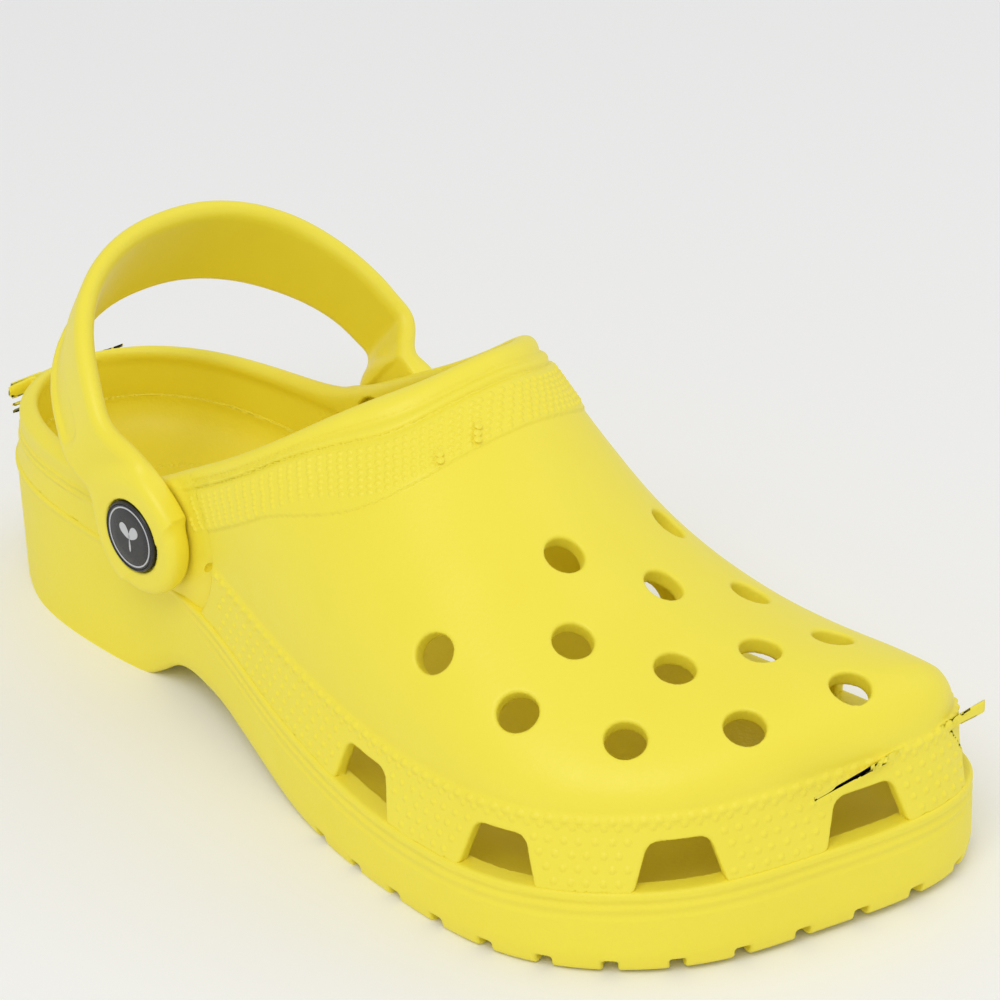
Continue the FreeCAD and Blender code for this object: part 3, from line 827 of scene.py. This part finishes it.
def badge_sprout(name, side):
    """A generic sprout: a stem and two leaves, a little proud of the disc."""
    leaves = []
    steps = 16
    for lean, length, width in ((0.75, LEAF_LENGTH, LEAF_WIDTH), (-0.75, LEAF_LENGTH, LEAF_WIDTH),
                                (math.pi, STEM_LENGTH, STEM_WIDTH)):
        leaf = []
        for k in range(2 * steps):
            turn = math.pi * k / steps
            along = length * (1 - math.cos(turn)) / 2
            across = width * math.sin(turn) * (1 - 0.35 * math.cos(turn))
            leaf.append((along * math.sin(lean) + across * math.cos(lean),
                         along * math.cos(lean) - across * math.sin(lean)))
        leaves.append(leaf)
    mesh = bpy.data.meshes.new(name)
    points, faces = [], []
    for leaf in leaves:
        first, count = len(points), len(leaf)
        for out in (47.8, 47.9):
            points += [((PIVOT[0] + side * out) * MM, (PIVOT[1] + a) * MM,
                        (PIVOT[2] + b - SPROUT_DROP) * MM) for a, b in leaf]
        top = tuple(range(first + count, first + 2 * count))
        base = tuple(range(first, first + count))
        walls = [(first + k, first + (k + 1) % count, first + count + (k + 1) % count, first + count + k)
                 for k in range(count)]
        faces += [top, base[::-1]] + walls
    mesh.from_pydata(points, [], faces)
    mesh.update()
    obj = bpy.data.objects.new(name, mesh)
    bpy.context.scene.collection.objects.link(obj)
    return obj


# ---- materials ----------------------------------------------------------------------------------

def noise(nodes, links, places, scale, detail):
    node = nodes.new("ShaderNodeTexNoise")
    node.inputs["Scale"].default_value = scale
    node.inputs["Detail"].default_value = detail
    links.new(places, node.inputs["Vector"])
    return node.outputs["Fac"]


def blended(nodes, links, share, low, high):
    """A colour between two colours, by a share."""
    node = nodes.new("ShaderNodeMix")
    node.data_type = "RGBA"
    links.new(share, node.inputs[0])
    node.inputs[6].default_value = (*low, 1)
    node.inputs[7].default_value = (*high, 1)
    return node.outputs[2]


def spread(nodes, links, share, low, high):
    """A share mapped to a range of values."""
    node = nodes.new("ShaderNodeMapRange")
    links.new(share, node.inputs["Value"])
    node.inputs["To Min"].default_value = low
    node.inputs["To Max"].default_value = high
    return node.outputs["Result"]


def grained_material(name, low, high, roughness, cell, grain, fine):
    """A moulded surface: cloudy colour, uneven gloss, pebbled cells and a fine tooth."""
    material = bpy.data.materials.new(name)
    material.use_nodes = True
    nodes, links = material.node_tree.nodes, material.node_tree.links
    shader = nodes["Principled BSDF"]
    places = nodes.new("ShaderNodeTexCoord").outputs["Object"]
    cloud = noise(nodes, links, places, 55.0, 4.0)
    links.new(blended(nodes, links, cloud, low, high), shader.inputs["Base Color"])
    tooth = noise(nodes, links, places, 1400.0, 3.0)
    patches = noise(nodes, links, places, 160.0, 5.0)
    links.new(spread(nodes, links, patches, roughness - 0.07, roughness + 0.09), shader.inputs["Roughness"])
    pebbles = nodes.new("ShaderNodeTexVoronoi")
    pebbles.feature = "SMOOTH_F1"
    pebbles.inputs["Scale"].default_value = 1 / cell
    links.new(places, pebbles.inputs["Vector"])
    coarse = nodes.new("ShaderNodeBump")
    coarse.invert = True
    coarse.inputs["Strength"].default_value = grain
    coarse.inputs["Distance"].default_value = 0.0003
    links.new(pebbles.outputs["Distance"], coarse.inputs["Height"])
    tiny = nodes.new("ShaderNodeBump")
    tiny.inputs["Strength"].default_value = fine
    tiny.inputs["Distance"].default_value = 0.0001
    links.new(tooth, tiny.inputs["Height"])
    links.new(coarse.outputs["Normal"], tiny.inputs["Normal"])
    links.new(tiny.outputs["Normal"], shader.inputs["Normal"])
    return material


def studio():
    """A pale floor, an even white surround and two large soft lights."""
    world = bpy.data.worlds.new("studio")
    bpy.context.scene.world = world
    world.use_nodes = True
    world.node_tree.nodes["Background"].inputs["Color"].default_value = (1, 1, 1, 1)
    world.node_tree.nodes["Background"].inputs["Strength"].default_value = 0.66
    bpy.context.scene.view_settings.view_transform = "Standard"
    mesh = bpy.data.meshes.new("floor")
    far = FLOOR_REACH
    mesh.from_pydata([(-far, -far, 0), (far, -far, 0), (far, far, 0), (-far, far, 0)], [], [(0, 1, 2, 3)])
    floor = bpy.data.objects.new("floor", mesh)
    bpy.context.scene.collection.objects.link(floor)
    material = bpy.data.materials.new("floor")
    material.use_nodes = True
    material.node_tree.nodes["Principled BSDF"].inputs["Base Color"].default_value = (0.95, 0.95, 0.95, 1)
    material.node_tree.nodes["Principled BSDF"].inputs["Roughness"].default_value = 0.9
    mesh.materials.append(material)
    for place, size, power in LIGHTS:
        light = bpy.data.lights.new("soft", "AREA")
        light.size = size
        light.energy = power
        obj = bpy.data.objects.new("soft", light)
        bpy.context.scene.collection.objects.link(obj)
        obj.location = place
        obj.rotation_euler = (-Vector(place)).to_track_quat("-Z", "Y").to_euler()


# ---- the pieces ---------------------------------------------------------------------------------

BLACK, SOOT, PALE = (0.012, 0.012, 0.014), (0.02, 0.02, 0.023), (0.55, 0.56, 0.58)
YELLOW, DEEP_YELLOW = (0.95, 0.83, 0.062), (0.93, 0.795, 0.048)

foam_upper = grained_material("foam_upper", DEEP_YELLOW, YELLOW, 0.46, 0.0011, 0.16, 0.35)
foam_sole = grained_material("foam_sole", DEEP_YELLOW, YELLOW, 0.5, 0.0009, 0.2, 0.4)
foam_strap = grained_material("foam_strap", DEEP_YELLOW, YELLOW, 0.42, 0.0013, 0.08, 0.3)
black_plastic = grained_material("black_plastic", BLACK, SOOT, 0.34, 0.0016, 0.05, 0.2)
black_print = grained_material("black_print", BLACK, SOOT, 0.27, 0.002, 0.03, 0.12)
pale_print = grained_material("pale_print", PALE, (0.6, 0.61, 0.63), 0.36, 0.002, 0.03, 0.12)
cap_plastic = grained_material("cap_plastic", DEEP_YELLOW, YELLOW, 0.6, 0.0012, 0.1, 0.4)


def add(piece, body, slot, material, *nodes):
    """Gives a piece its material and body, and hides the CAD nodes that it stands for; the slot argument is
    not used.
    """
    piece.data.materials.clear()
    piece.data.materials.append(material)
    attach(piece, body)
    if nodes:
        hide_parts(*nodes)


add(foam_piece("clog_upper", upper_field, (-66, -3, 8), (60, 294, 108), to_row, True),
    "clog", "foam_upper", foam_upper, "upper")
add(foam_piece("clog_sole", sole_field, (-66, -3, -2), (60, 294, 40), to_row, True),
    "clog", "foam_sole", foam_sole, "sole")
add(foam_piece("strap_band", strap_field, (-60, -18, -20), (60, 74, 24), strap_to_row, False),
    "strap", "foam_strap", foam_strap, "heel_strap")

small_dots, large_dots = rand_dots()
add(bumps("rand_dots", upper_field, small_dots, DOT_RADIUS, DOT_HEIGHT), "clog", "foam_upper", foam_upper)
add(bumps("rand_beads", upper_field, large_dots, BEAD_RADIUS, DOT_HEIGHT), "clog", "foam_upper", foam_upper)
add(bumps("collar_dots", upper_field, collar_dots(), COLLAR_DOT_RADIUS, COLLAR_DOT_HEIGHT),
    "clog", "foam_upper", foam_upper)
add(bumps("heel_nubs", sole_field, heel_nubs(), NUB_RADIUS, DOT_HEIGHT), "clog", "foam_sole", foam_sole)

for side_name, side in (("lateral", -1), ("medial", 1)):
    add(rivet(side_name + "_rivet_turned", side), "clog", "rivet_plastic", black_plastic,
        side_name + "_rivet")
    add(badge_disc(side_name + "_badge_disc", side), "clog", "badge_print", black_print,
        side_name + "_badge")
    add(badge_ring(side_name + "_badge_ring", side), "clog", "badge_print", pale_print)
    add(badge_sprout(side_name + "_badge_sprout", side), "clog", "badge_print", pale_print)
    cap = frame["nodes"][side_name + "_rivet_cap"]
    cap.data.materials.clear()
    cap.data.materials.append(cap_plastic)

studio()
camera()
